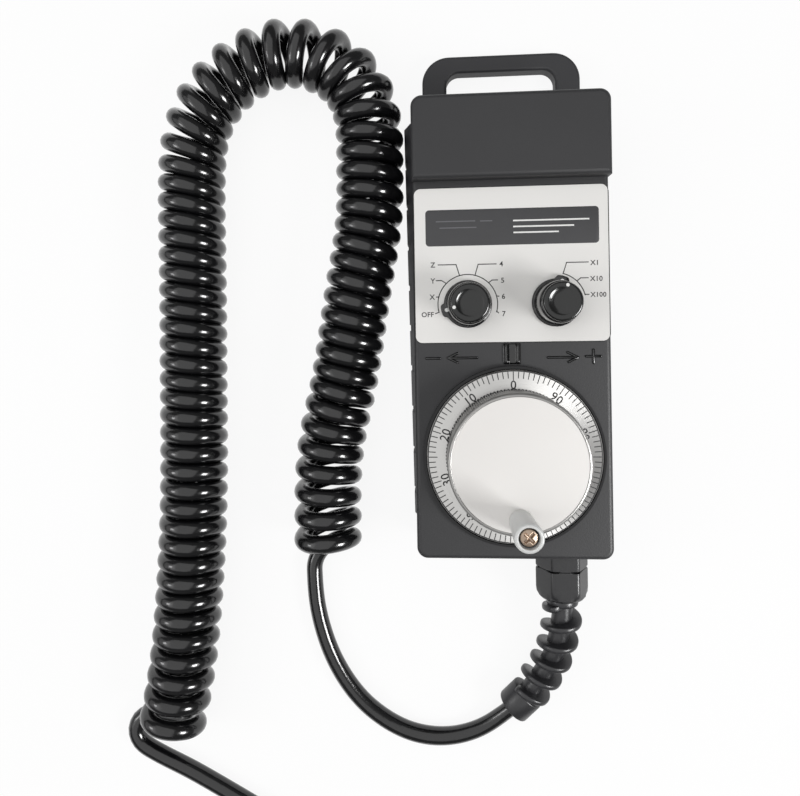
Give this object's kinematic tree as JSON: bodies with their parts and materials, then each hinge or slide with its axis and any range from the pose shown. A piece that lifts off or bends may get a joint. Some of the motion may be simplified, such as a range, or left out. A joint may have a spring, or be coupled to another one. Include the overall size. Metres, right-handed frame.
{
  "type": "pulse generator handwheel",
  "caption": "Hand-held pulse generator pendant with a graduated crank handwheel, two rotary selector switches, a hanging loop and a curly lead.",
  "frame": {"origin": "centre of the pendant's plan (case and hanging loop), on the surface it lies on", "axes": "+Z out of the front panel, +Y towards the hanging loop, +X to the right as seen from the front"},
  "size_m": [0.2485, 0.525, 0.0913],
  "materials": {
    "case_front": "fine moulded texture",
    "case_rear": "fine moulded texture",
    "rubber_black": "matt",
    "screw_steel": "zinc plated",
    "plate_grey": "satin overlay film",
    "gloss_black": "polished",
    "switch_blue": "moulded",
    "contact_brass": "plated",
    "plated_steel": "nickel plated",
    "rim_black": "satin",
    "board_green": "solder mask",
    "sensor_black": "moulded",
    "code_steel": "etched",
    "nylon_black": "moulded nylon",
    "cord_jacket": "glossy polyurethane",
    "plug_metal": "nickel plated",
    "plug_insulator": "moulded",
    "dial_aluminium": "turned and anodised",
    "disc_aluminium": "turned with a knurled rim",
    "face_silver": "bead-blasted, silver anodised",
    "crank_steel": "nickel plated",
    "crank_grey": "satin",
    "dot_white": "filled paint"
  },
  "bodies": {
    "housing": {"front_case": "case_front", "rear_case": "case_rear", "case_seal": "rubber_black", "case_screws": "screw_steel", "front_plate": "plate_grey", "index_marker": "gloss_black", "axis_switch_body": "switch_blue", "axis_switch_contacts": "contact_brass", "axis_switch_washer": "plated_steel", "axis_switch_nut": "plated_steel", "multiplier_switch_body": "switch_blue", "multiplier_switch_contacts": "contact_brass", "multiplier_switch_washer": "plated_steel", "multiplier_switch_nut": "plated_steel", "encoder_bezel": "rim_black", "encoder_drum": "rim_black", "encoder_cover": "rim_black", "encoder_screws": "screw_steel", "encoder_board": "board_green", "encoder_sensor": "sensor_black", "encoder_terminals": "contact_brass", "front_bearing": "plated_steel", "rear_bearing": "plated_steel", "click_ball": "plated_steel", "click_spring": "plated_steel", "gland_body": "nylon_black", "gland_locknut": "nylon_black", "gland_seal": "rubber_black", "gland_nut": "nylon_black", "bend_protector": "nylon_black", "cord_lead": "cord_jacket", "cord_curl": "cord_jacket", "cord_tail": "cord_jacket", "cord_coil": "cord_jacket", "cord_end": "cord_jacket", "cord_tie": "nylon_black", "plug_body": "plug_metal", "plug_ring": "plug_metal", "plug_insert": "plug_insulator"},
    "handwheel": {"dial": "dial_aluminium", "hand_disc": "disc_aluminium", "disc_face": "face_silver", "wheel_shaft": "plated_steel", "shaft_nut": "plated_steel", "code_wheel": "code_steel", "click_wheel": "contact_brass", "crank_screw": "crank_steel"},
    "crank_grip": {"crank_handle": "crank_grey"},
    "axis_selector": {"axis_knob": "gloss_black", "axis_knob_cap": "gloss_black", "axis_knob_dots": "dot_white", "axis_spindle": "plated_steel", "axis_knob_screw": "screw_steel"},
    "multiplier_selector": {"multiplier_knob": "gloss_black", "multiplier_knob_cap": "gloss_black", "multiplier_knob_dots": "dot_white", "multiplier_spindle": "plated_steel", "multiplier_knob_screw": "screw_steel"}
  },
  "joints": [
    {"name": "handwheel_turn", "type": "hinge", "parent": "housing", "child": "handwheel", "pos_m": [0, -0.0745, 0.0445], "axis": [0, 0, -1], "continuous": true},
    {"name": "grip_spin", "type": "hinge", "parent": "handwheel", "child": "crank_grip", "pos_m": [0, -0.0983, 0.078], "axis": [0, 0, 1], "continuous": true},
    {"name": "axis_select", "type": "hinge", "parent": "housing", "child": "axis_selector", "pos_m": [-0.02, -0.0043, 0.05], "axis": [0, 0, -1], "range_deg": [0, 210]},
    {"name": "multiplier_select", "type": "hinge", "parent": "housing", "child": "multiplier_selector", "pos_m": [0.02, -0.0043, 0.05], "axis": [0, 0, -1], "range_deg": [0, 60]}
  ]
}
